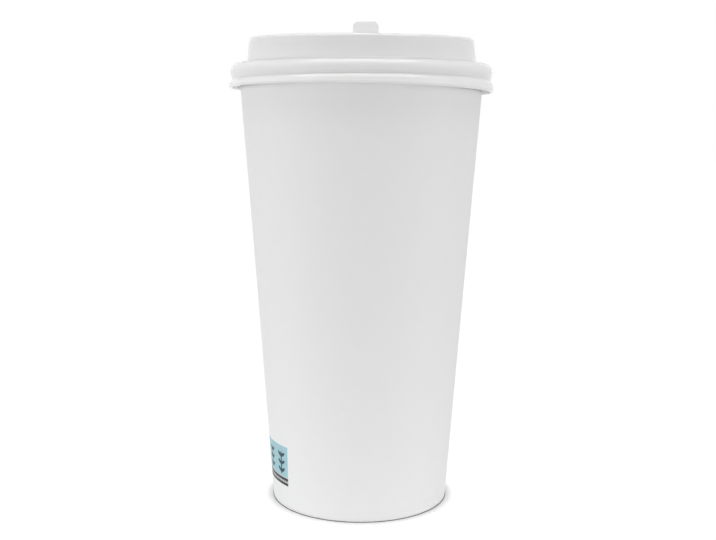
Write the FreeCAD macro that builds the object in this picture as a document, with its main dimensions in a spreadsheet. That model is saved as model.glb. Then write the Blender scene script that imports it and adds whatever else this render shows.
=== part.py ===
import FreeCAD, Part
import math
import os
import re

import Sketcher

# Tall paper hot-drink cup with a moulded lid that has a raised drinking rim and a hinged stopper.
# Millimetres. The origin is the centre of the foot on the table, +Z is up, the drinking side faces -Y.

os.makedirs("parts", exist_ok=True)
doc = FreeCAD.newDocument("paper_coffee_cup")

# Driving sizes: alias, value, what it is
SIZES = [
    ("cupHeight", 157.5, "table to the top of the rolled rim"),
    ("rimRadius", 45.0, "outside of the rolled rim"),
    ("rimRoll", 2.0, "outside diameter of the roll itself"),
    ("curlGap", 0.1, "roll's free edge short of the wall"),
    ("footRadius", 32.0, "outside of the wall, carried down to the table"),
    ("wallPaper", 0.42, "thickness of the coated wall paper"),
    ("hemHeight", 8.0, "top of the hem that is folded up inside"),
    ("foldRadius", 0.1, "inside radius of the hem's fold"),
    ("seamWidth", 4.5, "overlap of the side seam"),
    ("seamEnds", 2.6, "seam's step stops this short of the roll, the fold, the lip and the base"),
    ("basePaper", 0.36, "thickness of the base paper"),
    ("baseRecess", 9.0, "table to the upper face of the base at its edge"),
    ("baseBend", 0.8, "outside bend radius at the base's edge"),
    ("baseLand", 2.4, "flat land left outside the base's dish"),
    ("baseDish", 0.6, "how far the base's middle lies lower"),
    ("dishBorder", 3.0, "width of the slope down to the middle"),
    ("baseSkirtLift", 0.3, "base skirt's edge above the fold"),
    ("sealGap", 0.02, "glue line each side of the base's skirt"),
    ("lidGap", 0.1, "clearance of the lid all round the rolled rim"),
    ("lidWall", 0.6, "wall of the moulded lid"),
    ("lidTurn", 2.1, "degrees that the lid was pressed on out of square"),
    ("lipWall", 0.5, "sealing lip inside the mouth"),
    ("lipDepth", 4.0, "lip's edge below the rim's top"),
    ("landRise", 0.8, "ring's flat top above the rim's top, at the drinking rim"),
    ("landFall", 0.3, "fall of the ring's top towards its corner"),
    ("landDraft", 0.2, "ring's top corner inside its widest radius"),
    ("ringWall", 1.25, "wall of the ring at its widest, outside the channel for the roll"),
    ("ringCorner", 3.1, "rounding of the ring's top corner"),
    ("ringDepth", 4.1, "ring's lower corner below the rim's top"),
    ("neckWall", 0.42, "thickness at the neck under the ring"),
    ("neckDepth", 5.1, "neck below the rim's top"),
    ("shoulderDrop", 1.0, "shoulder of the skirt's bead below the neck"),
    ("shoulderOut", 0.2, "shoulder of the skirt's bead outside the ring"),
    ("shoulderRound", 0.5, "rounding of the shoulder"),
    ("skirtFlare", 0.7, "tip of the flared skirt outside the ring"),
    ("skirtDepth", 9.1, "skirt's edge below the rim's top"),
    ("skirtEdge", 0.8, "height of the skirt's tip above its edge"),
    ("skirtWall", 1.2, "skirt's edge measured across"),
    ("skirtBevel", 0.6, "skirt's edge set back inside its tip"),
    ("landWidth", 5.7, "foot of the drinking rim inside the ring's widest radius"),
    ("drinkDraft", 1.15, "drinking rim's crest inside its foot"),
    ("drinkRise", 9.45, "crest above the rim's top, at the sides"),
    ("domeSlope", 2.0, "degrees that the drinking rim and the deck fall towards the drinking side"),
    ("crestWidth", 2.6, "crest measured across"),
    ("crestFlat", 0.1, "flat left between the crest's two rounds"),
    ("wellDraft", 0.6, "deck's edge inside the crest's inner edge"),
    ("deckDrop", 5.3, "deck below the crest"),
    ("deckRound", 1.0, "rounding where the deck meets the drinking rim"),
    ("sipInset", 8.8, "centre of the sip hole inside the deck's edge"),
    ("sipRadius", 4.2, "radius of the sip hole"),
    ("ventInset", 12.3, "centre of the vent hole inside the deck's edge"),
    ("ventRadius", 0.6, "radius of the vent hole"),
    ("hingeOffset", 6.0, "hinge line in front of the cup's axis"),
    ("stopperGap", 0.3, "stopper's underside above the deck"),
    ("strapWall", 1.0, "thickness of the stopper's strap"),
    ("hingeFlat", 0.1, "flat left on the strap's rounded hinge end"),
    ("flangeRadius", 6.0, "disc that covers the sip hole"),
    ("plugGap", 0.35, "clearance round the plug at the deck"),
    ("plugDraft", 0.25, "plug's tip smaller than its root"),
    ("plugDepth", 3.4, "plug below the strap's underside"),
    ("plugWall", 0.8, "wall of the hollow plug"),
    ("tabWidth", 8.3, "width of the strap and the thumb tab"),
    ("tabWall", 1.2, "thickness of the thumb tab"),
    ("tabGap", 0.85, "thumb tab inside the drinking rim at the deck"),
    ("tabRise", 3.6, "top of the thumb tab above the crest"),
    ("tabRound", 1.6, "rounding of the tab's top corners"),
    ("tabBend", 0.8, "bend between strap and tab"),
    ("tabRoot", 1.6, "height of the bend's upstand above the strap"),
]

# Sizes that follow from the driving ones
LINKS = {
    "rollOuter": "rimRoll / 2",
    "rollInner": "rimRoll / 2 - wallPaper",
    "rollX": "rimRadius - rimRoll / 2",
    "rollZ": "cupHeight - rimRoll / 2",
    "rollReach": "sqrt(pow(rollX - footRadius; 2) + pow(rollZ; 2))",
    "wallLean": "atan((rollX - footRadius) / rollZ) - asin(rollInner / rollReach)",
    "curlEnd": "180 * 1 deg - wallLean + acos((rollInner - curlGap) / rollOuter)",
    "pocket": "basePaper + 2 * sealGap",
    "seamStep": "pow(seamWidth; 2) / (2 * footRadius)",
    "seamRoot": "(seamStep + wallPaper) / 2",
    "dishEdge": "footRadius - baseLand",
    "landZ": "cupHeight + landRise",
    "crestZ": "cupHeight + drinkRise",
    "crestRound": "(crestWidth - crestFlat) / 2",
    "deckZ": "crestZ - deckDrop",
    "channel": "rollOuter + lidGap",
    "channelX": "rimRadius + lidGap",
    "ringRadius": "channelX + ringWall",
    "skirtRadius": "ringRadius + skirtFlare",
    "drinkFoot": "ringRadius - landWidth",
    "drinkCrest": "drinkFoot - drinkDraft",
    "deckRadius": "drinkCrest - crestWidth - wellDraft",
    "slope": "domeSlope * 1 deg",
    "domeSink": "drinkFoot * sin(slope) + 2 * lidWall",
    "domeFoot": "drinkFoot + drinkDraft * domeSink / (crestZ - landZ)",
    "sipOffset": "deckRadius - sipInset",
    "ventOffset": "deckRadius - ventInset",
    "sipForward": "sipOffset * cos(slope) + (deckZ - landZ) * sin(slope)",
    "ventBack": "ventOffset * cos(slope) - (deckZ - landZ) * sin(slope)",
    "skirtZ": "cupHeight - skirtDepth",
    "strapLow": "deckZ + stopperGap",
    "strapTop": "strapLow + strapWall",
    "tabFace": "deckRadius - tabGap",
    "plugRadius": "sipRadius - plugGap",
    "tabTop": "crestZ + tabRise",
}

sheet = doc.addObject("Spreadsheet::Sheet", "Sizes")
for row, (alias, value, note) in enumerate(SIZES, start=1):
    sheet.set("A%d" % row, alias)
    sheet.set("B%d" % row, str(value))
    sheet.set("C%d" % row, note)
    sheet.setAlias("B%d" % row, alias)
doc.recompute()

ALIASES = {alias for alias, value, note in SIZES}
PLANES = {"XY": "XY_Plane", "XZ": "XZ_Plane", "YZ": "YZ_Plane"}
ORIGIN = (-1, 1)
ACROSS, UPRIGHT = -1, -2

# Straight runs that stand for a turned round, so that the rings mesh with few facets
CURL_STEPS = 7
CHANNEL_STEPS = 4
RING_STEPS = 4
CREST_STEPS = 2
BEND_STEPS = 2
BEVEL_STEPS = 1


def bind(text):
    """Writes out linked sizes and points every alias at its cell."""
    def word(match):
        name = match.group(0)
        if name in LINKS:
            return "(" + bind(LINKS[name]) + ")"
        return "Sizes." + name if name in ALIASES else name
    return re.sub(r"[A-Za-z_]\w*", word, text)


def number(text):
    """Value of an expression at the present sizes."""
    value = sheet.evalExpression(bind(text))
    return float(getattr(value, "Value", value))


def wall(depth, height):
    """Radius at a height, on the cone that lies a depth inside the cup's outer face."""
    return "(footRadius - (%s) / cos(wallLean) + (%s) * tan(wallLean))" % (depth, height)


def plane_of(body, name):
    return next(f for f in body.Origin.OriginFeatures if f.Role == PLANES[name])


def new_body(name):
    body = doc.addObject("PartDesign::Body", name)
    body.Label = name
    return body


def new_sketch(body, name, plane, offset="0", sloped=False):
    """Sketch on an origin plane; a sloped one, on YZ, is turned in its plane with the lid's dome."""
    sketch = body.newObject("Sketcher::SketchObject", name)
    sketch.AttachmentSupport = [(plane_of(body, plane), "")]
    sketch.MapMode = "FlatFace"
    if offset != "0":
        sketch.setExpression("AttachmentOffset.Base.z", bind(offset))
    if sloped:
        sketch.setExpression("AttachmentOffset.Base.x", bind("landZ * sin(slope)"))
        sketch.setExpression("AttachmentOffset.Base.y", bind("landZ * (1 - cos(slope))"))
        sketch.setExpression("AttachmentOffset.Rotation.Angle", bind("slope"))
    doc.recompute()
    return sketch


def measure(sketch, kind, geometry, end, text):
    """Ties one coordinate of a point to an expression."""
    if text == "0":
        axis = UPRIGHT if kind == "DistanceX" else ACROSS
        sketch.addConstraint(Sketcher.Constraint("PointOnObject", geometry, end, axis))
        return
    value = number(text)
    if value >= 0:
        made = sketch.addConstraint(Sketcher.Constraint(kind, *ORIGIN, geometry, end, value))
        sketch.setExpression("Constraints[%d]" % made, bind(text))
    else:
        made = sketch.addConstraint(Sketcher.Constraint(kind, geometry, end, *ORIGIN, -value))
        sketch.setExpression("Constraints[%d]" % made, bind("-(%s)" % text))


def set_radius(sketch, geometry, text):
    made = sketch.addConstraint(Sketcher.Constraint("Radius", geometry, number(text)))
    sketch.setExpression("Constraints[%d]" % made, bind(text))


def swept_arc(start, end, radius, turn):
    """Arc between two points; turn is +1 anticlockwise, -1 clockwise, and 2 takes the long way round."""
    chord = end.sub(start)
    half = chord.Length / 2
    rise = math.sqrt(max(radius * radius - half * half, 0.0))
    side = FreeCAD.Vector(-chord.y, chord.x, 0).normalize()
    hand = 1 if turn > 0 else -1
    way = -hand if abs(turn) == 2 else hand
    centre = start.add(chord.multiply(0.5)).add(side.multiply(rise * way))
    circle = Part.Circle(centre, FreeCAD.Vector(0, 0, 1), radius)
    first = math.atan2(start.y - centre.y, start.x - centre.x)
    last = math.atan2(end.y - centre.y, end.x - centre.x)
    if hand > 0:
        return Part.ArcOfCircle(circle, first, last if last > first else last + 2 * math.pi)
    return Part.ArcOfCircle(circle, last, first if first > last else first + 2 * math.pi)


def chords(sketch, arc, steps):
    """Equal straight runs from end to end of a construction arc."""
    curve = sketch.Geometry[arc]
    first, last = curve.FirstParameter, curve.LastParameter
    points = [curve.value(first + (last - first) * i / steps) for i in range(steps + 1)]
    runs = [sketch.addGeometry(Part.LineSegment(points[i], points[i + 1])) for i in range(steps)]
    sketch.addConstraint(Sketcher.Constraint("Coincident", runs[0], 1, arc, 1))
    sketch.addConstraint(Sketcher.Constraint("Coincident", runs[-1], 2, arc, 2))
    for before, after in zip(runs, runs[1:]):
        sketch.addConstraint(Sketcher.Constraint("Coincident", before, 2, after, 1))
        sketch.addConstraint(Sketcher.Constraint("PointOnObject", after, 1, arc))
        sketch.addConstraint(Sketcher.Constraint("Equal", before, after))


def outline(sketch, corners):
    """
    Closed outline. A corner is (x, y), (x, y, round), (x, y, round, steps), or
    (x, y, ("arc", radius, turn)) for an arc after it, which may take steps too.
    """
    places = [FreeCAD.Vector(number(c[0]), number(c[1]), 0) for c in corners]
    count = len(corners)
    rounds = [c[2] if len(c) > 2 and isinstance(c[2], str) else None for c in corners]
    arcs = [c[2] if len(c) > 2 and isinstance(c[2], tuple) else None for c in corners]
    steps = [c[3] if len(c) > 3 else 0 for c in corners]
    before, after = [], []
    for i, place in enumerate(places):
        toward = places[i - 1].sub(place).normalize()
        onward = places[(i + 1) % count].sub(place).normalize()
        cut = 0.0
        if rounds[i]:
            cut = number(rounds[i]) / math.tan(toward.getAngle(onward) / 2)
        before.append(place.add(toward * cut))
        after.append(place.add(onward * cut))
    sides = []
    for i in range(count):
        start, end = after[i], before[(i + 1) % count]
        if arcs[i]:
            kind, radius, turn = arcs[i]
            made = sketch.addGeometry(swept_arc(start, end, number(radius), turn), bool(steps[i]))
            set_radius(sketch, made, radius)
            if steps[i]:
                chords(sketch, made, steps[i])
            sides.append((made, 1, 2) if turn > 0 else (made, 2, 1))
        else:
            sides.append((sketch.addGeometry(Part.LineSegment(start, end)), 1, 2))
    for i in range(count):
        last, this = sides[i - 1], sides[i]
        x_text, y_text = corners[i][0], corners[i][1]
        if rounds[i] is None:
            sketch.addConstraint(Sketcher.Constraint("Coincident", last[0], last[2], this[0], this[1]))
            measure(sketch, "DistanceX", this[0], this[1], x_text)
            measure(sketch, "DistanceY", this[0], this[1], y_text)
            continue
        corner = sketch.addGeometry(Part.Point(places[i]), True)
        measure(sketch, "DistanceX", corner, 1, x_text)
        measure(sketch, "DistanceY", corner, 1, y_text)
        sketch.addConstraint(Sketcher.Constraint("PointOnObject", corner, 1, last[0]))
        sketch.addConstraint(Sketcher.Constraint("PointOnObject", corner, 1, this[0]))
        incoming, outgoing = places[i].sub(before[i]), after[i].sub(places[i])
        left = incoming.cross(outgoing).z > 0
        bend = swept_arc(before[i], after[i], number(rounds[i]), 1 if left else -1)
        made = sketch.addGeometry(bend, bool(steps[i]))
        near, far = (1, 2) if left else (2, 1)
        sketch.addConstraint(Sketcher.Constraint("Tangent", last[0], last[2], made, near))
        sketch.addConstraint(Sketcher.Constraint("Tangent", made, far, this[0], this[1]))
        set_radius(sketch, made, rounds[i])
        if steps[i]:
            chords(sketch, made, steps[i])
    doc.recompute()


def revolve(body, sketch, name, kind="PartDesign::Revolution"):
    turned = body.newObject(kind, name)
    turned.Profile = sketch
    turned.ReferenceAxis = (sketch, ["V_Axis"])
    turned.Angle = 360
    body.Tip = turned
    doc.recompute()
    return turned


def pad(body, sketch, name, length, midplane=False, reverse=False):
    raised = body.newObject("PartDesign::Pad", name)
    raised.Profile = sketch
    raised.setExpression("Length", bind(length))
    raised.Midplane = midplane
    raised.Reversed = reverse
    body.Tip = raised
    doc.recompute()
    return raised


def drill(body, name, across, forward, radius):
    """Round hole right through the body along Z."""
    sketch = new_sketch(body, name + "Sketch", "XY")
    centre = FreeCAD.Vector(number(across), number(forward), 0)
    made = sketch.addGeometry(Part.Circle(centre, FreeCAD.Vector(0, 0, 1), number(radius)))
    measure(sketch, "DistanceX", made, 3, across)
    measure(sketch, "DistanceY", made, 3, forward)
    set_radius(sketch, made, radius)
    doc.recompute()
    before = body.Shape.Volume
    hole = body.newObject("PartDesign::Pocket", name)
    hole.Profile = sketch
    hole.Type = "ThroughAll"
    hole.Reversed = True
    body.Tip = hole
    doc.recompute()
    if body.Shape.Volume >= before:
        raise RuntimeError(name + " cut nothing")
    return hole


def make_sidewall():
    """One paper blank: hem folded up inside, conical wall, rim rolled outwards, lap seam at the back."""
    body = new_body("cup_sidewall")
    hem_face = "wallPaper + pocket"
    hem_back = "2 * wallPaper + pocket"
    curl_tip = [
        ("rollX + %s * cos(curlEnd)" % radius, "rollZ + %s * sin(curlEnd)" % radius)
        for radius in ("(rollOuter)", "(rollInner)")
    ]
    section = new_sketch(body, "wallSection", "XZ")
    outline(section, [
        (wall("0", "0"), "0", "foldRadius + wallPaper", BEVEL_STEPS),
        (wall("0", "rollZ + rollInner * sin(wallLean)"), "rollZ + rollInner * sin(wallLean)",
         ("arc", "rollInner", -2), CURL_STEPS),
        (curl_tip[1][0], curl_tip[1][1]),
        (curl_tip[0][0], curl_tip[0][1], ("arc", "rollOuter", 2), CURL_STEPS),
        (wall("wallPaper", "rollZ + rollOuter * sin(wallLean)"), "rollZ + rollOuter * sin(wallLean)"),
        (wall("wallPaper", "wallPaper"), "wallPaper"),
        (wall(hem_face, "wallPaper"), "wallPaper"),
        (wall(hem_face, "hemHeight"), "hemHeight"),
        (wall(hem_back, "hemHeight"), "hemHeight"),
        (wall(hem_back, "0"), "0", "foldRadius + wallPaper", BEVEL_STEPS),
    ])
    revolve(body, section, "wallTurned")
    low = "seamEnds"
    high = "cupHeight - rimRoll - seamEnds"
    outer_end = new_sketch(body, "seamOuterSketch", "YZ")
    outline(outer_end, [
        (wall("0", low), low),
        (wall("0", high), high),
        (wall("seamRoot", high), high),
        (wall("seamRoot", low), low),
    ])
    pad(body, outer_end, "seamOuter", "seamWidth", reverse=True)
    inner_low = "baseRecess + seamEnds"
    inner_high = "cupHeight - lipDepth - seamEnds"
    inner_end = new_sketch(body, "seamInnerSketch", "YZ")
    outline(inner_end, [
        (wall("wallPaper + seamStep - seamRoot", inner_low), inner_low),
        (wall("wallPaper + seamStep - seamRoot", inner_high), inner_high),
        (wall("wallPaper + seamStep", inner_high), inner_high),
        (wall("wallPaper + seamStep", inner_low), inner_low),
    ])
    pad(body, inner_end, "seamInner", "seamWidth")
    return body


def make_base():
    """Paper disc, dished a little, its edge turned down into the pocket of the hem."""
    body = new_body("cup_base")
    outer_face = "wallPaper + sealGap"
    inner_face = outer_face + " + basePaper"
    edge = "wallPaper + baseSkirtLift"
    under = "baseRecess - basePaper"
    section = new_sketch(body, "baseSection", "XZ")
    outline(section, [
        ("0", "baseRecess - baseDish"),
        ("dishEdge - dishBorder", "baseRecess - baseDish"),
        ("dishEdge", "baseRecess"),
        (wall(outer_face, "baseRecess"), "baseRecess", "baseBend", BEVEL_STEPS),
        (wall(outer_face, edge), edge),
        (wall(inner_face, edge), edge),
        (wall(inner_face, under), under, "baseBend - basePaper", BEVEL_STEPS),
        ("dishEdge", under),
        ("dishEdge - dishBorder", under + " - baseDish"),
        ("0", under + " - baseDish"),
    ])
    revolve(body, section, "baseTurned")
    return body


# Places that the lid's own turn on the cup and the slope of its dome give
TURN = "placement(vector(0; 0; 0); rotation(vector(0; 0; 1); lidTurn))"
SLOPE = ("placement(vector(0; 0; landZ); rotation(vector(1; 0; 0); domeSlope))"
         " * placement(vector(0; 0; -landZ); rotation(vector(1; 0; 0); 0))")


def make_lid():
    """One moulding: ring over the roll, sealing lip, flared skirt, sloped drinking rim and recessed deck."""
    body = new_body("lid")
    lip_z = "cupHeight - lipDepth"
    lip_face = "wallPaper + lidGap"
    lip_back = wall(lip_face, lip_z) + " - lipWall"
    neck_z = "cupHeight - neckDepth"
    ring = new_sketch(body, "ringSection", "XZ")
    outline(ring, [
        ("0", "landZ"),
        ("drinkFoot - lidWall", "landZ"),
        ("ringRadius - landDraft", "landZ - landFall", "ringCorner", RING_STEPS),
        ("ringRadius", "cupHeight - ringDepth"),
        ("channelX + neckWall", neck_z),
        ("ringRadius + shoulderOut", neck_z + " - shoulderDrop", "shoulderRound", BEVEL_STEPS),
        ("skirtRadius", "skirtZ + skirtEdge"),
        ("skirtRadius - skirtBevel", "skirtZ"),
        ("skirtRadius - skirtWall", "skirtZ"),
        ("channelX", neck_z),
        ("channelX", "rollZ", ("arc", "channel", 1), CHANNEL_STEPS),
        (wall(lip_face, "rollZ + channel * sin(wallLean)"), "rollZ + channel * sin(wallLean)"),
        (wall(lip_face, lip_z), lip_z),
        ("0", lip_z),
    ])
    revolve(body, ring, "ringTurned")
    foot = "landZ - domeSink"
    dome = new_sketch(body, "domeSection", "YZ", sloped=True)
    outline(dome, [
        ("0", foot),
        ("domeFoot", foot),
        ("drinkCrest", "crestZ", "crestRound", CREST_STEPS),
        ("drinkCrest - crestWidth", "crestZ", "crestRound", CREST_STEPS),
        ("deckRadius", "deckZ", "deckRound", BEND_STEPS),
        ("0", "deckZ"),
    ])
    revolve(body, dome, "domeTurned")
    inside = new_sketch(body, "domeInside", "YZ", sloped=True)
    outline(inside, [
        ("0", foot),
        ("domeFoot - lidWall", foot),
        ("drinkCrest - lidWall", "crestZ - lidWall", "crestRound - lidWall", BEVEL_STEPS),
        ("drinkCrest - crestWidth + lidWall", "crestZ - lidWall", "crestRound - lidWall", BEVEL_STEPS),
        ("deckRadius + lidWall", "deckZ - lidWall", "deckRound", BEVEL_STEPS),
        ("0", "deckZ - lidWall"),
    ])
    revolve(body, inside, "domeHollow", "PartDesign::Groove")
    mouth = new_sketch(body, "lipInside", "XZ")
    outline(mouth, [
        ("0", lip_z + " - lidWall"),
        (lip_back, lip_z + " - lidWall"),
        (lip_back, "landZ - lidWall"),
        ("0", "landZ - lidWall"),
    ])
    revolve(body, mouth, "lipHollow", "PartDesign::Groove")
    drill(body, "sipHole", "0", "-sipForward", "sipRadius")
    drill(body, "ventHole", "0", "ventBack", "ventRadius")
    body.setExpression("Placement", bind(TURN))
    return body


def make_stopper():
    """Hinged strap with a disc and a hollow plug over the sip hole, and an upright thumb tab at its end."""
    body = new_body("lid_stopper")
    side = new_sketch(body, "strapSide", "YZ")
    upstand = "strapTop + tabRoot"
    outline(side, [
        ("-hingeOffset + strapWall / 2", "strapLow", "(strapWall - hingeFlat) / 2"),
        ("-hingeOffset + strapWall / 2", "strapTop", "(strapWall - hingeFlat) / 2"),
        ("-tabFace + tabWall", "strapTop", "tabBend"),
        ("-tabFace + tabWall", upstand),
        ("-tabFace", upstand),
        ("-tabFace", "strapLow", "tabBend"),
    ])
    pad(body, side, "strap", "tabWidth", midplane=True)
    front = new_sketch(body, "tabFront", "XZ", "tabFace")
    outline(front, [
        ("-tabWidth / 2", "strapTop"),
        ("tabWidth / 2", "strapTop"),
        ("tabWidth / 2", "tabTop", "tabRound"),
        ("-tabWidth / 2", "tabTop", "tabRound"),
    ])
    pad(body, front, "tab", "tabWall", reverse=True)
    tip_z = "strapLow - plugDepth"
    plug = new_sketch(body, "plugSection", "XZ", "sipOffset")
    outline(plug, [
        ("0", tip_z),
        ("plugRadius - plugDraft", tip_z, "plugWall / 2", BEVEL_STEPS),
        ("plugRadius", "strapLow"),
        ("flangeRadius", "strapLow"),
        ("flangeRadius", "strapTop", "strapWall / 2", BEND_STEPS),
        ("0", "strapTop"),
    ])
    revolve(body, plug, "plug")
    hollow = new_sketch(body, "plugHollow", "XZ", "sipOffset")
    outline(hollow, [
        ("0", tip_z + " + plugWall"),
        ("plugRadius - plugDraft - plugWall", tip_z + " + plugWall", "plugWall / 2", BEVEL_STEPS),
        ("plugRadius - plugWall", "strapTop"),
        ("0", "strapTop"),
    ])
    before = body.Shape.Volume
    revolve(body, hollow, "hollow", "PartDesign::Groove")
    if body.Shape.Volume >= before:
        raise RuntimeError("the plug's hollow cut nothing")
    body.setExpression("Placement", bind(TURN + " * " + SLOPE))
    return body


nodes = [make_sidewall(), make_base(), make_lid(), make_stopper()]
doc.recompute()

for item in doc.Objects:
    if "Invalid" in item.State or "Error" in item.State:
        raise RuntimeError("%s did not recompute: %s" % (item.Label, item.State))
for node in nodes:
    shape = node.Shape
    if shape.isNull() or not shape.isValid() or len(shape.Solids) != 1:
        raise RuntimeError(node.Label + " is not one valid solid")

for node in nodes:
    node.Shape.exportStep("parts/%s.step" % node.Label)
    box = node.Shape.BoundBox
    print("%-14s volume %9.1f  x %7.2f %7.2f  y %7.2f %7.2f  z %7.2f %7.2f" % (
        node.Label, node.Shape.Volume, box.XMin, box.XMax, box.YMin, box.YMax, box.ZMin, box.ZMax))
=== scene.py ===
import math

import bmesh
import bpy
from mathutils import Matrix, Vector


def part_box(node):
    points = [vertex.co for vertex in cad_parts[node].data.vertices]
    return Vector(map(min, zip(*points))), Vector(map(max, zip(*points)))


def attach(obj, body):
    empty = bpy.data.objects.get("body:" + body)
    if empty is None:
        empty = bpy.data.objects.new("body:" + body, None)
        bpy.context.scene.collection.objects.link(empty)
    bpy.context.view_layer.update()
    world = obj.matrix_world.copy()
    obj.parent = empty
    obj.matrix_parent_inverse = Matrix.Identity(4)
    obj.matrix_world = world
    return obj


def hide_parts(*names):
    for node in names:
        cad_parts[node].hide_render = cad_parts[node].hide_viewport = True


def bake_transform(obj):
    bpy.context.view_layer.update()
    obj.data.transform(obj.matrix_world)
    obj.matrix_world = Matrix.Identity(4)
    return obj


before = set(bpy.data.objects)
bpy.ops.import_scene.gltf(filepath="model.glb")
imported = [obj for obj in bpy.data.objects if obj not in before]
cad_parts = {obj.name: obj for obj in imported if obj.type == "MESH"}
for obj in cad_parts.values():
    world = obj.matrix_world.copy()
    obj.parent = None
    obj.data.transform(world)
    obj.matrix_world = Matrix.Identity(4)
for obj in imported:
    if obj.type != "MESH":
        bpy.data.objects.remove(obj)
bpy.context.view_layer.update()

# Tall paper hot-drink cup with a moulded lid and a hinged stopper, dressed round the solids of the frame.
# Lengths below are in millimetres, as on the maker's drawing, and become metres in the meshes.
MM = 0.001

# The paper cup
CUP_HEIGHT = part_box("cup_sidewall")[1].z / MM
RIM_RADIUS = 45.0
RIM_ROLL = 2.0
FOOT_RADIUS = 32.0
WALL_PAPER = 0.42
CURL_GAP = 0.1
HEM_HEIGHT = 8.0
FOLD_RADIUS = 0.1
FOLD_TOP = 1.0
BASE_PAPER = 0.36
BASE_RECESS = 9.0
BASE_BEND = 0.8
BASE_LAND = 2.4
BASE_DISH = 0.6
DISH_BORDER = 3.0
DISH_ROUND = 12.0
BASE_SKIRT_LIFT = 0.3
SEAL_GAP = 0.02

# The lap seam at the back, and how far from the wall's ends it fades
SEAM_ANGLE = math.pi
SEAM_OVERLAP = 7.0
SEAM_STEP = 0.26
SEAM_EDGE = math.radians(0.06)
SEAM_CLEAR = math.radians(0.35)
SEAM_FADE_TOP = 4.0
SEAM_FADE_FOOT = 3.0

# The board's slight waviness: swings round the cup, turn for each millimetre of height, start and share
WAVINESS = 0.05
WAVES = [(3, 0.021, 0.0, 1.0), (5, -0.034, 1.3, 0.6)]
WAVE_FADE_TOP = 30.0
WAVE_FADE_FOOT = 40.0

# The pressed ribs inside the hem
RIB_COUNT = 120
RIB_WIDTH = 0.75
RIB_PROUD = 0.12
RIB_LOW = 1.6
RIB_HIGH = 6.6
RIB_FACETS = 8

# The lid
LID_GAP = 0.1
LID_WALL = 0.6
LID_TURN = math.radians(2.1)
LIP_WALL = 0.5
LIP_DEPTH = 4.0
LAND_RISE = 0.8
LAND_SINK = 0.35
LAND_FALL = 0.42
LAND_DRAFT = 0.2
RING_WALL = 1.25
RING_CORNER = 2.9
RING_DEPTH = 3.1
RING_HEEL = 4.0
NECK_WALL = 0.55
NECK_DEPTH = 5.8
NECK_ROUND = 0.45
SHOULDER_DROP = 1.05
SHOULDER_OUT = 0.2
SHOULDER_ROUND = 0.8
NECK_LIFT = 1.35
SKIRT_TWIST = 0.7
SKIRT_FLARE = 0.7
SKIRT_DEPTH = 9.1
SKIRT_EDGE = 0.8
SKIRT_WALL = 1.2
SKIRT_BEVEL = 0.6
SMALL_ROUND = 0.25
LAND_WIDTH = 5.7
DRINK_DRAFT = 1.15
DRINK_RISE = 9.45
DOME_SLOPE = math.radians(1.75)
CREST_WIDTH = 2.6
CREST_FLAT = 0.1
WELL_DRAFT = 0.6
DECK_DROP = 5.3
DECK_ROUND = 1.0
SIP_INSET = 8.8
SIP_RADIUS = 4.2
VENT_INSET = 12.3
VENT_RADIUS = 0.6
HOLE_ROUND = 0.18
HOLE_REACH = 1.0

# The stopper and the thin film that hinges it
HINGE_OFFSET = 6.0
STOPPER_GAP = 0.3
STRAP_WALL = 1.0
HINGE_FLAT = 0.1
FLANGE_RADIUS = 6.0
PLUG_GAP = 0.35
PLUG_DRAFT = 0.25
PLUG_DEPTH = 3.4
PLUG_WALL = 0.8
TAB_WIDTH = 8.3
TAB_WALL = 1.2
TAB_GAP = 0.85
TAB_RISE = 3.8
TAB_ROUND = 1.6
TAB_BEND = 0.8
TAB_LEAN = 0.28
FILM_WALL = 0.25
FILM_REACH = 1.15
FILM_INSET = 0.5

# Sizes and places that follow
ROLL_OUTER = RIM_ROLL / 2
ROLL_INNER = ROLL_OUTER - WALL_PAPER
ROLL_X = RIM_RADIUS - ROLL_OUTER
ROLL_Z = CUP_HEIGHT - ROLL_OUTER
WALL_LEAN = (math.atan2(ROLL_X - FOOT_RADIUS, ROLL_Z)
             - math.asin(ROLL_INNER / math.hypot(ROLL_X - FOOT_RADIUS, ROLL_Z)))
HEM_FACE = WALL_PAPER + BASE_PAPER + 2 * SEAL_GAP
HEM_BACK = HEM_FACE + WALL_PAPER
CHANNEL_X = RIM_RADIUS + LID_GAP
RING_RADIUS = CHANNEL_X + RING_WALL
SKIRT_RADIUS = RING_RADIUS + SKIRT_FLARE
DRINK_FOOT = RING_RADIUS - LAND_WIDTH
DRINK_CREST = DRINK_FOOT - DRINK_DRAFT
DECK_RADIUS = DRINK_CREST - CREST_WIDTH - WELL_DRAFT
LAND_Z = CUP_HEIGHT + LAND_RISE
CREST_Z = CUP_HEIGHT + DRINK_RISE
DECK_Z = CREST_Z - DECK_DROP
SIP_OFFSET = DECK_RADIUS - SIP_INSET
VENT_OFFSET = DECK_RADIUS - VENT_INSET

# The dome's slope turns about the ring's top, and then the whole lid is turned on the cup
TURN = Matrix.Rotation(LID_TURN, 4, "Z")
DOME_PIVOT = Matrix.Translation((0, 0, LAND_Z * MM))
DOME = TURN @ DOME_PIVOT @ Matrix.Rotation(DOME_SLOPE, 4, "X") @ DOME_PIVOT.inverted()

# How finely the shapes are drawn
AROUND = 288
HOLE_COLUMNS = 72
PLUG_COLUMNS = 96
WALL_ROWS = 44
FILM_ROWS = 8
ARC_STEP = math.radians(12)
SHARP_ANGLE = math.radians(38)
TINY = 1e-4


def wall(depth, height):
    """Radius at a height on the cone that lies a depth inside the cup's outer face."""
    return FOOT_RADIUS - depth / math.cos(WALL_LEAN) + height * math.tan(WALL_LEAN)


def arc_points(centre, radius, start, end):
    """Points along an arc, both ends included."""
    steps = max(2, math.ceil(abs(end - start) / ARC_STEP))
    turns = [start + (end - start) * i / steps for i in range(steps + 1)]
    return [(centre[0] + radius * math.cos(a), centre[1] + radius * math.sin(a)) for a in turns]


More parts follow.
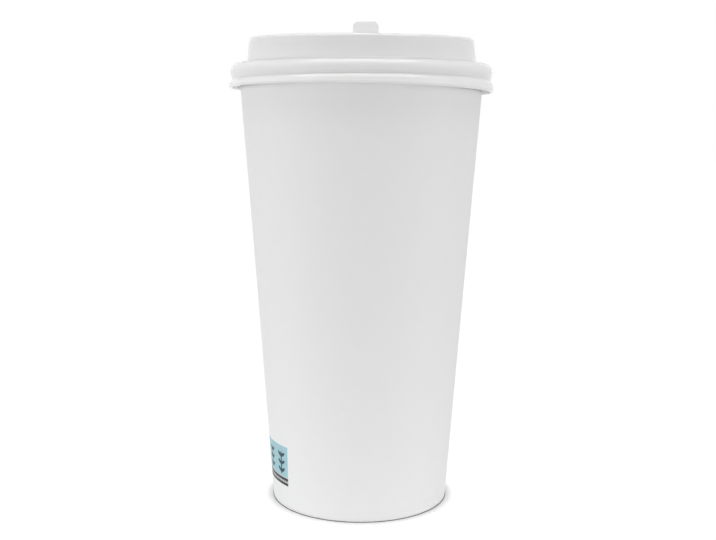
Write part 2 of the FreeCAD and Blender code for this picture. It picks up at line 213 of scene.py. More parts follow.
def section(corners):
    """Closed outline from corners (x, y) or (x, y, round), with the rounds drawn as arcs."""
    points = []
    count = len(corners)
    for i, corner in enumerate(corners):
        here = Vector(corner[:2])
        if len(corner) == 2:
            points.append((here.x, here.y))
            continue
        back = (Vector(corners[i - 1][:2]) - here).normalized()
        on = (Vector(corners[(i + 1) % count][:2]) - here).normalized()
        half = back.angle(on) / 2
        centre = here + (back + on).normalized() * (corner[2] / math.sin(half))
        first = here + back * (corner[2] / math.tan(half)) - centre
        last = here + on * (corner[2] / math.tan(half)) - centre
        start = math.atan2(first.y, first.x)
        sweep = math.atan2(last.y, last.x) - start
        sweep = (sweep + math.pi) % (2 * math.pi) - math.pi
        points.extend(arc_points(centre, corner[2], start, start + sweep))
    return points


def divided(start, end, steps):
    """Points after the start of a straight run and before its end."""
    return [tuple(a + (b - a) * i / steps for a, b in zip(start, end)) for i in range(1, steps)]


def shade_smooth(item):
    """Smooth shading that stays sharp at the corners."""
    item.data.polygons.foreach_set("use_smooth", [True] * len(item.data.polygons))
    item.data.set_sharp_from_angle(angle=SHARP_ANGLE)


def new_object(name, mesh, material=None):
    """Object at the origin, linked to the scene."""
    item = bpy.data.objects.new(name, mesh)
    bpy.context.scene.collection.objects.link(item)
    if material:
        mesh.materials.append(material)
    return item


def finished_shape(name, work, material=None):
    """Object from a worked mesh, its faces turned outwards."""
    bmesh.ops.recalc_face_normals(work, faces=work.faces)
    mesh = bpy.data.meshes.new(name)
    work.to_mesh(mesh)
    work.free()
    item = new_object(name, mesh, material)
    shade_smooth(item)
    return item


def around(radius, height, angle):
    """Point at a radius, height and angle from the front, in millimetres."""
    return Vector((radius * math.sin(angle), -radius * math.cos(angle), height))


def even_angles(count):
    """Angles that share out a full turn."""
    return [2 * math.pi * i / count for i in range(count)]


def lathe(name, outline, material=None, place=around, angles=None):
    """Turns an outline of (radius, height) round the axis; place puts each point, in millimetres."""
    angles = angles or even_angles(AROUND)
    count = len(angles)
    work = bmesh.new()
    rows = []
    for radius, height in outline:
        if radius < TINY:
            rows.append([work.verts.new(place(0, height, 0) * MM)] * count)
        else:
            rows.append([work.verts.new(place(radius, height, angle) * MM) for angle in angles])
    closed = outline[0][0] > TINY
    pairs = list(zip(rows, rows[1:])) + ([(rows[-1], rows[0])] if closed else [])
    for low, high in pairs:
        for i in range(count):
            j = (i + 1) % count
            ring = [low[i], low[j], high[j], high[i]]
            ring = [v for k, v in enumerate(ring) if v is not ring[k - 1]]
            if len(ring) > 2:
                work.faces.new(ring)
    return finished_shape(name, work, material)


def bake_modifiers(item):
    """Turns an object's modifiers into its mesh."""
    bpy.context.view_layer.update()
    finished = bpy.data.meshes.new_from_object(item.evaluated_get(bpy.context.evaluated_depsgraph_get()))
    item.modifiers.clear()
    item.data = finished


def join_with(target, other, operation):
    """Exact boolean, UNION or DIFFERENCE, that uses up the other object."""
    boolean = target.modifiers.new("join", "BOOLEAN")
    boolean.operation = operation
    boolean.solver = "EXACT"
    boolean.object = other
    bake_modifiers(target)
    bpy.data.objects.remove(other)


# Shader maths
class Channel:
    """A shader socket that takes part in Python arithmetic."""

    def __init__(self, maker, socket):
        self.maker = maker
        self.socket = socket

    def _math(self, operation, left, right=None):
        inputs = {0: left} if right is None else {0: left, 1: right}
        return self.maker.node("ShaderNodeMath", {"operation": operation}, inputs)

    def __add__(self, other):
        return self._math("ADD", self, other)

    __radd__ = __add__

    def __sub__(self, other):
        return self._math("SUBTRACT", self, other)

    def __rsub__(self, other):
        return self._math("SUBTRACT", other, self)

    def __mul__(self, other):
        return self._math("MULTIPLY", self, other)

    __rmul__ = __mul__

    def __truediv__(self, other):
        return self._math("DIVIDE", self, other)

    def __gt__(self, other):
        return self._math("GREATER_THAN", self, other)

    def __lt__(self, other):
        return self._math("LESS_THAN", self, other)

    def __abs__(self):
        return self._math("ABSOLUTE", self)

    def max(self, other):
        return self._math("MAXIMUM", self, other)

    def root(self):
        return self._math("SQRT", self)

    def modulo(self, other):
        return self._math("FLOORED_MODULO", self, other)


class Finish:
    """A material and the nodes that feed its surface."""

    def __init__(self, name, roughness, ior, **constants):
        self.material = bpy.data.materials.new(name)
        self.material.use_nodes = True
        self.tree = self.material.node_tree
        self.surface = self.tree.nodes["Principled BSDF"]
        self.surface.inputs["Roughness"].default_value = roughness
        self.surface.inputs["IOR"].default_value = ior
        for socket, value in constants.items():
            self.surface.inputs[socket.replace("_", " ")].default_value = value

    def node(self, kind, settings=None, inputs=None, output=0):
        made = self.tree.nodes.new(kind)
        for key, value in (settings or {}).items():
            setattr(made, key, value)
        for key, value in (inputs or {}).items():
            if isinstance(value, Channel):
                self.tree.links.new(value.socket, made.inputs[key])
            else:
                made.inputs[key].default_value = value
        return Channel(self, made.outputs[output])

    def place(self):
        """Object coordinates as three channels, in metres."""
        spot = self.node("ShaderNodeTexCoord", output="Object")
        split = self.node("ShaderNodeSeparateXYZ", inputs={0: spot}).socket.node
        return [Channel(self, socket) for socket in split.outputs]

    def noise(self, scale, detail, roughness=0.55, squash=None):
        """Noise with so many swings to the metre; squash draws it out along an axis."""
        spot = self.node("ShaderNodeTexCoord", output="Object")
        if squash:
            spot = self.node("ShaderNodeMapping", inputs={"Vector": spot, "Scale": squash})
        return self.node("ShaderNodeTexNoise", inputs={
            "Vector": spot, "Scale": scale, "Detail": detail, "Roughness": roughness})

    def blend(self, factor, first, second):
        """Mixes two colours, each a tuple or a channel."""
        mix = self.tree.nodes.new("ShaderNodeMix")
        mix.data_type = "RGBA"
        for socket, value in ((mix.inputs[0], factor), (mix.inputs[6], first), (mix.inputs[7], second)):
            if isinstance(value, Channel):
                self.tree.links.new(value.socket, socket)
            else:
                socket.default_value = value if isinstance(value, float) else (*value, 1.0)
        return Channel(self, mix.outputs[2])

    def feed(self, socket, channel):
        self.tree.links.new(channel.socket, self.surface.inputs[socket])

    def bump(self, relief, distance):
        """Relief from 0 to 1 becomes a normal; distance is its height in millimetres."""
        self.feed("Normal", self.node("ShaderNodeBump", inputs={
            "Height": relief, "Distance": distance * MM, "Strength": 1.0}))


# Colours
WHITE_BOARD = (0.86, 0.865, 0.86)
BOARD_SHADE = (0.83, 0.835, 0.83)
INK_BLUE = (0.27, 0.52, 0.61)
INK_TEAL = (0.008, 0.04, 0.06)
INK_FADED = (0.42, 0.61, 0.66)
INK_GREY = (0.15, 0.17, 0.18)
INK_PALE = (0.66, 0.67, 0.67)
INK_DARK = (0.01, 0.012, 0.015)
LID_WHITE = (0.815, 0.817, 0.812)
LID_SHADE = (0.79, 0.793, 0.79)

# Finishes: noise as swings to the metre, detail and roughness; tooth and grain as heights in millimetres
BOARD_CLOUD = (260.0, 3.0)
BOARD_FIBRE = (2600.0, 5.0, 0.6)
FIBRE_SQUASH = (1, 1, 0.45)
BOARD_TOOTH = 0.06
BOARD_ROUGH = 0.52
FIBRE_ROUGH = 0.12
COATING_SMOOTH = 0.16
INK_SMOOTH = 0.1
INK_WASH = (330.0, 2.0)
LID_FLOW = (90.0, 2.0)
LID_GRAIN = (3800.0, 2.0)
GRAIN_HEIGHT = 0.012
LID_ROUGH = 0.1
GRAIN_ROUGH = 0.06
FLOW_ROUGH = 0.04

# The printed patch on the lower wall: arc lengths from the front and heights, in millimetres
PATCH_RIGHT = -29.1
PATCH_LOW = 8.7
PATCH_HIGH = 23.4
STRIP_HIGH = 11.5
STRIP_RULE = 0.85
STRIP_EDGE = 0.25
DOT_RADIUS = 0.38
DOTS = 20
SPRIGS = 3
SPRIG_SPACING = 8.4
SPRIG_INSET = 1.2
PATCH_WIDTH = SPRIGS * SPRIG_SPACING
DOT_SPACING = PATCH_WIDTH / DOTS
STEM_HALF = 0.4
LEAF_RISE = 2.9
LEAF_START = LEAF_RISE / 4
LEAF_TURN = math.radians(35)
LEAF_LONG = 1.35
LEAF_WIDE = 0.58


def add_print(finish, colour, arc, height):
    """A plain generic patch: a row of leaf sprigs on a pale field, over a dark strip with a row of dots."""
    middle = PATCH_RIGHT - PATCH_WIDTH / 2
    inside = (abs(arc - middle) < PATCH_WIDTH / 2) * (height > PATCH_LOW) * (height < PATCH_HIGH)
    field = inside * (height > STRIP_HIGH)
    edging = inside * (abs(height - STRIP_HIGH - STRIP_EDGE / 2) < STRIP_EDGE / 2)
    aside = abs((arc - PATCH_RIGHT).modulo(SPRIG_SPACING) - SPRIG_SPACING / 2)
    up = height - (STRIP_HIGH + SPRIG_INSET)
    growing = (up > 0.0) * (height < PATCH_HIGH - 2 * SPRIG_INSET)
    stem = growing * (aside < STEM_HALF)
    step = up.modulo(LEAF_RISE) - LEAF_START
    along = (aside * math.cos(LEAF_TURN) + step * math.sin(LEAF_TURN) - LEAF_LONG) / LEAF_LONG
    across = (step * math.cos(LEAF_TURN) - aside * math.sin(LEAF_TURN)) / LEAF_WIDE
    leaves = growing * ((along * along + across * across) < 1.0)
    strip = inside * (height < STRIP_HIGH)
    centre = (PATCH_LOW + STRIP_HIGH) / 2
    rules = strip * (abs(height - centre) > (STRIP_HIGH - PATCH_LOW) / 2 - STRIP_RULE)
    dot_aside = (arc - PATCH_RIGHT).modulo(DOT_SPACING) - DOT_SPACING / 2
    dot_up = height - centre
    dots = strip * ((dot_aside * dot_aside + dot_up * dot_up) < DOT_RADIUS ** 2)
    wash = finish.blend(finish.noise(*INK_WASH), INK_BLUE, INK_FADED)
    colour = finish.blend(field, colour, wash)
    colour = finish.blend(field * stem.max(leaves), colour, INK_TEAL)
    colour = finish.blend(edging, colour, INK_PALE)
    colour = finish.blend(strip, colour, INK_GREY)
    colour = finish.blend(dots, colour, INK_PALE)
    return finish.blend(rules, colour, INK_DARK), inside


def paper_finish(name, printed=False):
    """Smooth white cup board: faint fibre mottling, fine tooth, a little gloss where it is coated."""
    finish = Finish(name, roughness=0.55, ior=1.45)
    cloud = finish.noise(*BOARD_CLOUD)
    fibre = finish.noise(*BOARD_FIBRE, squash=FIBRE_SQUASH)
    tone = cloud * 0.5 + fibre * 0.5
    colour = finish.blend(tone, WHITE_BOARD, BOARD_SHADE)
    x, y, z = finish.place()
    radius = (x * x + y * y).root() / MM
    height = z / MM
    coated = radius < (height * math.tan(WALL_LEAN) + (FOOT_RADIUS - WALL_PAPER / 2))
    rough = BOARD_ROUGH + fibre * FIBRE_ROUGH - coated * COATING_SMOOTH
    if printed:
        arc = finish.node("ShaderNodeMath", {"operation": "ARCTAN2"}, {0: x, 1: y * -1.0}) * radius
        colour, ink = add_print(finish, colour, arc, height)
        outside = 1.0 - coated
        rough = rough - ink * outside * INK_SMOOTH
    finish.feed("Base Color", colour)
    finish.feed("Roughness", rough)
    finish.bump(fibre * 0.6 + cloud * 0.4, BOARD_TOOTH)
    return finish.material


def plastic_finish(name):
    """White moulded polypropylene: satin, slightly waxy, with very faint flow mottling."""
    finish = Finish(name, roughness=0.12, ior=1.53, Subsurface_Weight=0.8, Subsurface_Scale=0.0015,
                    Subsurface_Radius=(1.0, 1.0, 1.0))
    flow = finish.noise(*LID_FLOW)
    grain = finish.noise(*LID_GRAIN)
    finish.feed("Base Color", finish.blend(flow, LID_WHITE, LID_SHADE))
    finish.feed("Roughness", LID_ROUGH + grain * GRAIN_ROUGH + flow * FLOW_ROUGH)
    finish.bump(grain, GRAIN_HEIGHT)
    return finish.material


def smooth_step(value):
    """Eases from 0 to 1 as the value does."""
    value = min(max(value, 0.0), 1.0)
    return value * value * (3 - 2 * value)


# The paper cup
def seam_angles():
    """Even columns all round, and close ones at the seam's two edges."""
    half = SEAM_OVERLAP / 2 / ((FOOT_RADIUS + RIM_RADIUS) / 2)
    edges = [SEAM_ANGLE + side * half + off for side in (-1, 1) for off in (-SEAM_EDGE, SEAM_EDGE)]
    columns = [a for a in even_angles(AROUND) if all(abs(a - edge) > SEAM_CLEAR for edge in edges)]
    return sorted(columns + edges)


def wall_shape(radius, height, angle):
    """Lap seam at the back, one end of the blank over the other, and the board's slight waviness."""
    away = (angle - SEAM_ANGLE) * (FOOT_RADIUS + RIM_RADIUS) / 2
    outer = radius > wall(WALL_PAPER / 2, height)
    top = CUP_HEIGHT - (RIM_ROLL if outer else LIP_DEPTH)
    ends = smooth_step((top - height) / SEAM_FADE_TOP) * smooth_step(height / SEAM_FADE_FOOT)
    half = SEAM_OVERLAP / 2
    if outer:
        lap = smooth_step((away + half + SEAM_OVERLAP) / SEAM_OVERLAP) if away < half else 0.0
        lift = SEAM_STEP * lap
    else:
        lap = smooth_step((half + SEAM_OVERLAP - away) / SEAM_OVERLAP) if away > -half else 0.0
        lift = -SEAM_STEP * lap if height > BASE_RECESS else 0.0
    lobes = sum(share * math.sin(swings * angle + twist * height + start)
                for swings, twist, start, share in WAVES)
    swell = smooth_step(height / WAVE_FADE_FOOT) * smooth_step((CUP_HEIGHT - height) / WAVE_FADE_TOP)
    return around(radius + lift * ends + WAVINESS * lobes * swell, height, angle)


def cup_wall(material):
    """Wall of one paper blank, its rim rolled outwards and its hem folded up inside."""
    wall_way = math.pi - WALL_LEAN
    curl_end = -(2 * math.pi - wall_way - math.acos((ROLL_INNER - CURL_GAP) / ROLL_OUTER))
    outer_top = (wall(0, ROLL_Z), ROLL_Z)
    inner_top = (wall(WALL_PAPER, ROLL_Z), ROLL_Z)
    outer_foot = (wall(0, FOLD_TOP), FOLD_TOP)
    inner_foot = (wall(WALL_PAPER, FOLD_TOP), FOLD_TOP)
    fold = section([
        (wall(HEM_BACK, HEM_HEIGHT), HEM_HEIGHT),
        (wall(HEM_BACK, 0), 0, FOLD_RADIUS + WALL_PAPER),
        (wall(0, 0), 0, FOLD_RADIUS + WALL_PAPER),
        outer_foot,
    ])
    inside_fold = section([
        inner_foot,
        (wall(WALL_PAPER, WALL_PAPER), WALL_PAPER, FOLD_RADIUS),
        (wall(HEM_FACE, WALL_PAPER), WALL_PAPER, FOLD_RADIUS),
        (wall(HEM_FACE, HEM_HEIGHT), HEM_HEIGHT),
    ])
    roll = (ROLL_X, ROLL_Z)
    outline = fold + divided(outer_foot, outer_top, WALL_ROWS)
    outline += arc_points(roll, ROLL_INNER, wall_way, curl_end)
    outline += arc_points(roll, ROLL_OUTER, curl_end, wall_way)
    outline += divided(inner_top, inner_foot, WALL_ROWS) + inside_fold
    return lathe("cup_wall", outline, material, wall_shape, seam_angles())


def knurl_ribs(material):
    """Pressed knurling inside the hem, made by one row of instances round the foot."""
    middle = (RIB_LOW + RIB_HIGH) / 2
    sizes = {
        "Count": RIB_COUNT,
        "Radius": wall(HEM_BACK, middle) * MM,
        "Height": (RIB_HIGH - RIB_LOW) / 2 * MM,
        "Width": RIB_WIDTH / 2 * MM,
        "Proud": RIB_PROUD * MM,
    }
    tree = bpy.data.node_groups.new("knurl_ribs", "GeometryNodeTree")
    tree.interface.new_socket("Geometry", in_out="OUTPUT", socket_type="NodeSocketGeometry")
    for label, value in sizes.items():
        kind = "NodeSocketInt" if isinstance(value, int) else "NodeSocketFloat"
        tree.interface.new_socket(label, in_out="INPUT", socket_type=kind).default_value = value

    def add(kind, settings=None, inputs=None):
        made = tree.nodes.new(kind)
        for key, value in (settings or {}).items():
            setattr(made, key, value)
        for key, value in (inputs or {}).items():
            if isinstance(value, bpy.types.NodeSocket):
                tree.links.new(value, made.inputs[key])
            else:
                made.inputs[key].default_value = value
        return made

    asked = add("NodeGroupInput").outputs
    ring = add("GeometryNodeMeshCircle", {"fill_type": "NONE"}, {
        "Vertices": asked["Count"], "Radius": asked["Radius"]})
    spot = add("GeometryNodeInputPosition")
    turn = add("FunctionNodeAlignRotationToVector", {"axis": "X"}, {"Vector": spot.outputs[0]})
    rib = add("GeometryNodeMeshUVSphere", None, {"Segments": RIB_FACETS, "Rings": RIB_FACETS, "Radius": 1.0})
    size = add("ShaderNodeCombineXYZ", None, {0: asked["Proud"], 1: asked["Width"], 2: asked["Height"]})
    placed = add("GeometryNodeInstanceOnPoints", None, {
        "Points": ring.outputs["Mesh"], "Instance": rib.outputs["Mesh"],
        "Rotation": turn.outputs[0], "Scale": size.outputs[0]})
    real = add("GeometryNodeRealizeInstances", None, {0: placed.outputs[0]})
    painted = add("GeometryNodeSetMaterial", None, {0: real.outputs[0], "Material": material})
    result = add("NodeGroupOutput")
    tree.links.new(painted.outputs[0], result.inputs[0])
    item = new_object("hem_knurling", bpy.data.meshes.new("hem_knurling"))
    ribs = item.modifiers.new("ribs", "NODES")
    ribs.node_group = tree
    for socket in tree.interface.items_tree:
        if socket.in_out == "INPUT":
            ribs[socket.identifier] = sizes[socket.name]
    bake_modifiers(item)
    lean = math.tan(WALL_LEAN)
    for vertex in item.data.vertices:
        across = Vector((vertex.co.x, vertex.co.y, 0))
        reach = across.length
        across.normalize()
        vertex.co = across * (reach + vertex.co.z * lean) + Vector((0, 0, vertex.co.z + middle * MM))
    shade_smooth(item)
    return item


def cup_floor(material):
    """Recessed disc, dished a little, its edge turned down into the hem."""
    outer = WALL_PAPER + SEAL_GAP
    inner = outer + BASE_PAPER
    edge = WALL_PAPER + BASE_SKIRT_LIFT
    under = BASE_RECESS - BASE_PAPER
    reach = FOOT_RADIUS - BASE_LAND
    middle = reach - DISH_BORDER
    outline = section([
        (0, BASE_RECESS - BASE_DISH),
        (middle, BASE_RECESS - BASE_DISH, DISH_ROUND),
        (reach, BASE_RECESS, DISH_ROUND / 2),
        (wall(outer, BASE_RECESS), BASE_RECESS, BASE_BEND),
        (wall(outer, edge), edge),
        (wall(inner, edge), edge),
        (wall(inner, under), under, BASE_BEND - BASE_PAPER),
        (reach, under, DISH_ROUND / 2),
        (middle, under - BASE_DISH, DISH_ROUND),
        (0, under - BASE_DISH),
    ])
    return lathe("cup_floor", outline, material)


# The lid
def lid_shape(radius, height, angle):
    """Slopes the drinking rim and the deck down to the front, and seats the springy skirt unevenly."""
    if height < CUP_HEIGHT - RING_DEPTH:
        spring = smooth_step((CUP_HEIGHT - RING_DEPTH - height) / (NECK_DEPTH - RING_DEPTH))
        below = smooth_step((CUP_HEIGHT - NECK_DEPTH - height) / (SKIRT_DEPTH - NECK_DEPTH))
        height += NECK_LIFT * spring * max(math.cos(angle), 0) - SKIRT_TWIST * below * math.sin(angle)
    point = around(radius, height, angle)
    inside = radius < DRINK_CREST - CREST_WIDTH / 2
    share = 1.0 if inside else min(max((height - LAND_Z) / (CREST_Z - LAND_Z), 0.0), 1.0)
    over = height - LAND_Z
    return point + Vector((0, -over * math.sin(DOME_SLOPE), point.y * math.sin(DOME_SLOPE))) * share


def hole_cutter(name, forward, radius, top, bottom):
    """Spool that cuts a hole with softly rounded edges."""
    waist = radius + HOLE_ROUND
    outline = [(0, bottom - HOLE_REACH), (waist + HOLE_REACH, bottom - HOLE_REACH)]
    outline += arc_points((waist, bottom + HOLE_ROUND), HOLE_ROUND, -math.pi / 2, -math.pi)
    outline += arc_points((waist, top - HOLE_ROUND), HOLE_ROUND, math.pi, math.pi / 2)
    outline += [(waist + HOLE_REACH, top + HOLE_REACH), (0, top + HOLE_REACH)]
    cutter = lathe(name, outline, angles=even_angles(HOLE_COLUMNS))
    cutter.data.transform(DOME @ Matrix.Translation((0, -forward * MM, 0)))
    return cutter


def lid_shell(material):
    """One moulding: deck, drinking rim, ring, neck, skirt, channel for the roll and sealing lip."""
    lip_z = CUP_HEIGHT - LIP_DEPTH
    lip_face = WALL_PAPER + LID_GAP
    lip_back = wall(lip_face, lip_z) - LIP_WALL
    under_land = LAND_Z - LID_WALL
    neck_z = CUP_HEIGHT - NECK_DEPTH
    skirt_z = CUP_HEIGHT - SKIRT_DEPTH
    crest_round = (CREST_WIDTH - CREST_FLAT) / 2
    outline = section([
        (0, DECK_Z),
        (DECK_RADIUS, DECK_Z, DECK_ROUND),
        (DRINK_CREST - CREST_WIDTH, CREST_Z, crest_round),
        (DRINK_CREST, CREST_Z, crest_round),
        (DRINK_FOOT, LAND_Z - LAND_SINK, LID_WALL),
        (RING_RADIUS - LAND_DRAFT, LAND_Z - LAND_FALL, RING_CORNER),
        (RING_RADIUS, CUP_HEIGHT - RING_DEPTH, RING_HEEL),
        (CHANNEL_X + NECK_WALL, neck_z, NECK_ROUND),
        (RING_RADIUS + SHOULDER_OUT, neck_z - SHOULDER_DROP, SHOULDER_ROUND),
        (SKIRT_RADIUS, skirt_z + SKIRT_EDGE, SMALL_ROUND),
        (SKIRT_RADIUS - SKIRT_BEVEL, skirt_z, SMALL_ROUND),
        (SKIRT_RADIUS - SKIRT_WALL, skirt_z),
        (CHANNEL_X, neck_z),
    ])
    outline += arc_points((ROLL_X, ROLL_Z), ROLL_OUTER + LID_GAP, 0, math.pi - WALL_LEAN)
    outline += section([
        (wall(lip_face, ROLL_Z), ROLL_Z),
        (wall(lip_face, lip_z), lip_z, LIP_WALL / 3),
        (lip_back, lip_z, LIP_WALL / 3),
        (lip_back, under_land),
        (DRINK_FOOT - LID_WALL, under_land),
        (DRINK_CREST - LID_WALL, CREST_Z - LID_WALL, crest_round - LID_WALL),
        (DRINK_CREST - CREST_WIDTH + LID_WALL, CREST_Z - LID_WALL, crest_round - LID_WALL),
        (DECK_RADIUS + LID_WALL, DECK_Z - LID_WALL, DECK_ROUND + LID_WALL),
        (0, DECK_Z - LID_WALL),
    ])[1:]
    shell = lathe("lid_shell", outline, material, lid_shape)
    shell.data.transform(TURN)
    deck = (DECK_Z, DECK_Z - LID_WALL)
    join_with(shell, hole_cutter("sip_cutter", SIP_OFFSET, SIP_RADIUS, *deck), "DIFFERENCE")
    join_with(shell, hole_cutter("vent_cutter", -VENT_OFFSET, VENT_RADIUS, *deck), "DIFFERENCE")
    shade_smooth(shell)
    return shell


def slab(name, outline, axis, low, high):
    """Prism from an outline; axis X takes (y, z) points, axis Y takes (x, z) points."""
    work = bmesh.new()
    spot = {"X": lambda p, d: (d, p[0], p[1]), "Y": lambda p, d: (p[0], d, p[1])}[axis]
    ends = [[work.verts.new(Vector(spot(p, d)) * MM) for p in outline] for d in (low, high)]
    work.faces.new(ends[0])
    work.faces.new(ends[1])
    count = len(outline)
    for i in range(count):
        j = (i + 1) % count
        work.faces.new([ends[0][i], ends[0][j], ends[1][j], ends[1][i]])
    return finished_shape(name, work)


def stopper(material):
    """Strap with a leaning thumb tab, and a disc with a hollow plug for the sip hole."""
    strap_low = DECK_Z + STOPPER_GAP
    strap_top = strap_low + STRAP_WALL
    tab_face = DECK_RADIUS - TAB_GAP
    tab_top = CREST_Z + TAB_RISE
    hinge_round = (STRAP_WALL - HINGE_FLAT) / 2
    upstand = strap_top + 2 * TAB_BEND
    side = section([
        (-HINGE_OFFSET + STRAP_WALL / 2, strap_low, hinge_round),
        (-HINGE_OFFSET + STRAP_WALL / 2, strap_top, hinge_round),
        (-tab_face + TAB_WALL, strap_top, TAB_BEND),
        (-tab_face + TAB_WALL, upstand),
        (-tab_face, upstand),
        (-tab_face, strap_low, TAB_BEND),
    ])
    body = slab("lid_stopper_flap", side, "X", -TAB_WIDTH / 2, TAB_WIDTH / 2)
    front = section([
        (-TAB_WIDTH / 2, strap_top + TAB_BEND),
        (TAB_WIDTH / 2, strap_top + TAB_BEND),
        (TAB_WIDTH / 2, tab_top, TAB_ROUND),
        (-TAB_WIDTH / 2, tab_top, TAB_ROUND),
    ])
    join_with(body, slab("tab", front, "Y", -tab_face, -tab_face + TAB_WALL), "UNION")
    for vertex in body.data.vertices:
        vertex.co.y += max(vertex.co.z - (strap_top + TAB_BEND) * MM, 0) * TAB_LEAN
    tip = strap_low - PLUG_DEPTH
    plug_radius = SIP_RADIUS - PLUG_GAP
    columns = even_angles(PLUG_COLUMNS)
    plug = lathe("plug", section([
        (0, tip),
        (plug_radius - PLUG_DRAFT, tip, PLUG_WALL / 2),
        (plug_radius, strap_low),
        (FLANGE_RADIUS, strap_low, SMALL_ROUND / 2),
        (FLANGE_RADIUS, strap_top, SMALL_ROUND),
        (0, strap_top),
    ]), angles=columns)
    plug.data.transform(Matrix.Translation((0, -SIP_OFFSET * MM, 0)))
    join_with(body, plug, "UNION")
    hollow = lathe("hollow", section([
        (0, tip + PLUG_WALL),
        (plug_radius - PLUG_DRAFT - PLUG_WALL, tip + PLUG_WALL, PLUG_WALL / 2),
        (plug_radius - PLUG_WALL, strap_top),
        (plug_radius - PLUG_WALL, strap_top + PLUG_WALL),
        (0, strap_top + PLUG_WALL),
    ]), angles=columns)
    hollow.data.transform(Matrix.Translation((0, -SIP_OFFSET * MM, 0)))
    join_with(body, hollow, "DIFFERENCE")
    body.data.materials.clear()
    body.data.materials.append(material)
    body.data.transform(DOME)
    shade_smooth(body)
    return body


def hinge_web(material):
    """Thin film that joins the strap's rounded end to the deck."""
    half = TAB_WIDTH / 2 - FILM_INSET
    top = DECK_Z + STOPPER_GAP + STRAP_WALL / 2
    root = -HINGE_OFFSET + STRAP_WALL / 2
    start = Vector((root + FILM_REACH, DECK_Z))
    middle = Vector((root + FILM_WALL, DECK_Z + FILM_WALL))
    end = Vector((root - FILM_WALL / 2, top))
    path = []
    for i in range(FILM_ROWS + 1):
        share = i / FILM_ROWS
        rest = 1 - share
        path.append(start * rest ** 2 + middle * 2 * share * rest + end * share ** 2)
    upper, lower = [], []
    for i, point in enumerate(path):
        along = (path[min(i + 1, FILM_ROWS)] - path[max(i - 1, 0)]).normalized()
        across = Vector((-along.y, along.x)) * FILM_WALL / 2
        upper.append(tuple(point + across))
        lower.append(tuple(point - across))
    web = slab("hinge_web", upper + lower[::-1], "X", -half, half)
    web.data.materials.append(material)
    web.data.transform(DOME)
    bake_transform(web)
    return web


# The pieces, each but the hinge film on the body that carries it
board = paper_finish("cup_board", printed=True)
base_board = paper_finish("base_board")
moulding = plastic_finish("lid_polypropylene")
flap_moulding = plastic_finish("stopper_polypropylene")

shell = cup_wall(board)
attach(shell, "cup")
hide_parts("cup_sidewall")

knurling = knurl_ribs(base_board)
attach(knurling, "cup")

disc = cup_floor(base_board)
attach(disc, "cup")
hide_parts("cup_base")

cover = lid_shell(moulding)
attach(cover, "lid")
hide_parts("lid")

flap = stopper(flap_moulding)
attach(flap, "stopper")
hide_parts("lid_stopper")

web = hinge_web(flap_moulding)

# Stage, lamps and camera: places in metres, power in watts, the lens in millimetres, turns in degrees
WHITE = (1.0, 1.0, 1.0, 1.0)
AMBIENT = 0.28
FLOOR_SIZE = 6.0
FLOOR_WHITE = 1.05

# What changes over the floor between two radii: its grey, lighter near the cup as a painted pool of light,
# the painted shade under the foot, and its share of white
PAINTED_POOL_REACH = (0.06, 0.26)
PAINTED_POOL_GREYS = (0.88, 0.52)
PAINTED_SHADE_REACH = (0.0318, 0.0325)
PAINTED_SHADE_GREYS = (0.1, 1.0)
WHITE_REACH = (0.0325, 0.0352)
WHITE_SHARE = (0.0, 1.0)

# Each lamp's name, place, size and power, and whether it shows in gloss
LAMPS = [
    ("overhead", (0.0, -0.15, 1.2), (1.3, 0.8), 8.8, True),
    ("front_low", (0.0, -1.2, 0.1), (1.6, 0.2), 5.4, False),
    ("left_box", (-1.1, 0.1, 0.16), (0.9, 0.5), 5.4, False),
    ("right_box", (1.1, 0.1, 0.16), (0.9, 0.5), 4.3, False),
]
AIM = Vector((0, 0, 0.09))

CAMERA_PLACE = (-0.0009, -0.382, 0.13819)
CAMERA_DOWN = 8.082
CAMERA_ROLL = 0.27
LENS = 53.04


def node_math(tree, operation, left, right):
    """Output of a Math node between two sockets."""
    made = tree.nodes.new("ShaderNodeMath")
    made.operation = operation
    tree.links.new(left, made.inputs[0])
    tree.links.new(right, made.inputs[1])
    return made.outputs[0]


def camera_rays(tree):
    """1 for rays that show the background itself: from the camera, a mirror or through glass."""
    rays = tree.nodes.new("ShaderNodeLightPath").outputs
    mirrored = node_math(tree, "MAXIMUM", rays["Is Camera Ray"], rays["Is Glossy Ray"])
    return node_math(tree, "MAXIMUM", mirrored, rays["Is Transmission Ray"])


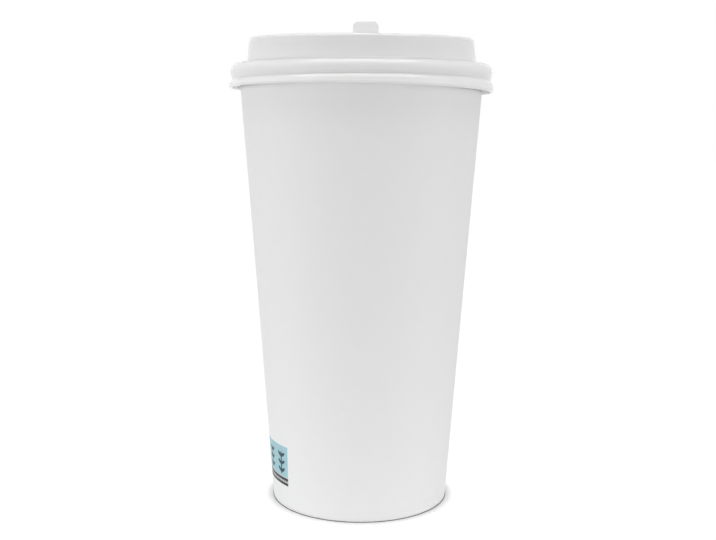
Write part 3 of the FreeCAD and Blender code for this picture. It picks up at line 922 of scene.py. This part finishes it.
def pale_floor():
    """Floor that takes the cup's shadow, has painted shade under the foot and a painted pool of light round
    it, and shows white beyond its foot.
    """
    mesh = bpy.data.meshes.new("floor")
    half = FLOOR_SIZE / 2
    corners = [(-half, -half, 0), (half, -half, 0), (half, half, 0), (-half, half, 0)]
    mesh.from_pydata(corners, [], [(0, 1, 2, 3)])
    material = bpy.data.materials.new("pale_floor")
    material.use_nodes = True
    tree = material.node_tree
    tree.nodes.clear()
    matte = tree.nodes.new("ShaderNodeBsdfDiffuse")
    glow = tree.nodes.new("ShaderNodeEmission")
    glow.inputs["Strength"].default_value = FLOOR_WHITE
    spot = tree.nodes.new("ShaderNodeTexCoord")
    reach = tree.nodes.new("ShaderNodeVectorMath")
    reach.operation = "LENGTH"
    tree.links.new(spot.outputs["Object"], reach.inputs[0])

    def by_radius(radii, values):
        """Value that runs between two values over two radii."""
        made = tree.nodes.new("ShaderNodeMapRange")
        for socket, value in zip(("From Min", "From Max", "To Min", "To Max"), radii + values):
            made.inputs[socket].default_value = value
        tree.links.new(reach.outputs["Value"], made.inputs["Value"])
        return made.outputs[0]

    # Painted shade: the floor's grey drops to 0.1 under the foot, a painted contact shadow.
    under = by_radius(PAINTED_SHADE_REACH, PAINTED_SHADE_GREYS)
    # Painted pool of light: the floor's grey runs lighter near the cup and darker far off, times the painted
    # shade under the foot.
    painted_pool_and_shade = node_math(tree, "MULTIPLY", by_radius(PAINTED_POOL_REACH, PAINTED_POOL_GREYS), under)
    share = node_math(tree, "MULTIPLY", camera_rays(tree), by_radius(WHITE_REACH, WHITE_SHARE))
    tree.links.new(painted_pool_and_shade, matte.inputs["Color"])
    mix = tree.nodes.new("ShaderNodeMixShader")
    tree.links.new(share, mix.inputs[0])
    tree.links.new(matte.outputs[0], mix.inputs[1])
    tree.links.new(glow.outputs[0], mix.inputs[2])
    output = tree.nodes.new("ShaderNodeOutputMaterial")
    tree.links.new(mix.outputs[0], output.inputs[0])
    new_object("floor", mesh, material)


def white_room():
    """World that is plain white to the camera and lights the cup softly."""
    world = bpy.data.worlds.new("white_room")
    bpy.context.scene.world = world
    world.use_nodes = True
    tree = world.node_tree
    sky = tree.nodes["Background"]
    sky.inputs["Color"].default_value = WHITE
    sky.inputs["Strength"].default_value = AMBIENT
    seen = tree.nodes.new("ShaderNodeBackground")
    seen.inputs["Color"].default_value = WHITE
    mix = tree.nodes.new("ShaderNodeMixShader")
    tree.links.new(camera_rays(tree), mix.inputs[0])
    tree.links.new(sky.outputs[0], mix.inputs[1])
    tree.links.new(seen.outputs[0], mix.inputs[2])
    tree.links.new(mix.outputs[0], tree.nodes["World Output"].inputs[0])


def soft_lamp(name, place, size, power, in_gloss):
    """Rectangular lamp aimed at the middle of the cup."""
    lamp = bpy.data.lights.new(name, "AREA")
    lamp.shape = "RECTANGLE"
    lamp.size, lamp.size_y = size
    lamp.energy = power
    item = bpy.data.objects.new(name, lamp)
    item.visible_glossy = in_gloss
    item.location = place
    item.rotation_euler = (AIM - Vector(place)).to_track_quat("-Z", "Y").to_euler()
    bpy.context.scene.collection.objects.link(item)


pale_floor()
white_room()
for lamp in LAMPS:
    soft_lamp(*lamp)

camera = bpy.data.cameras.new("camera")
camera.lens = LENS
viewer = bpy.data.objects.new("camera", camera)
viewer.matrix_world = (Matrix.Translation(CAMERA_PLACE)
                       @ Matrix.Rotation(math.radians(90 - CAMERA_DOWN), 4, "X")
                       @ Matrix.Rotation(math.radians(CAMERA_ROLL), 4, "Z"))
bpy.context.scene.collection.objects.link(viewer)
bpy.context.scene.camera = viewer
bpy.context.scene.view_settings.view_transform = "Standard"
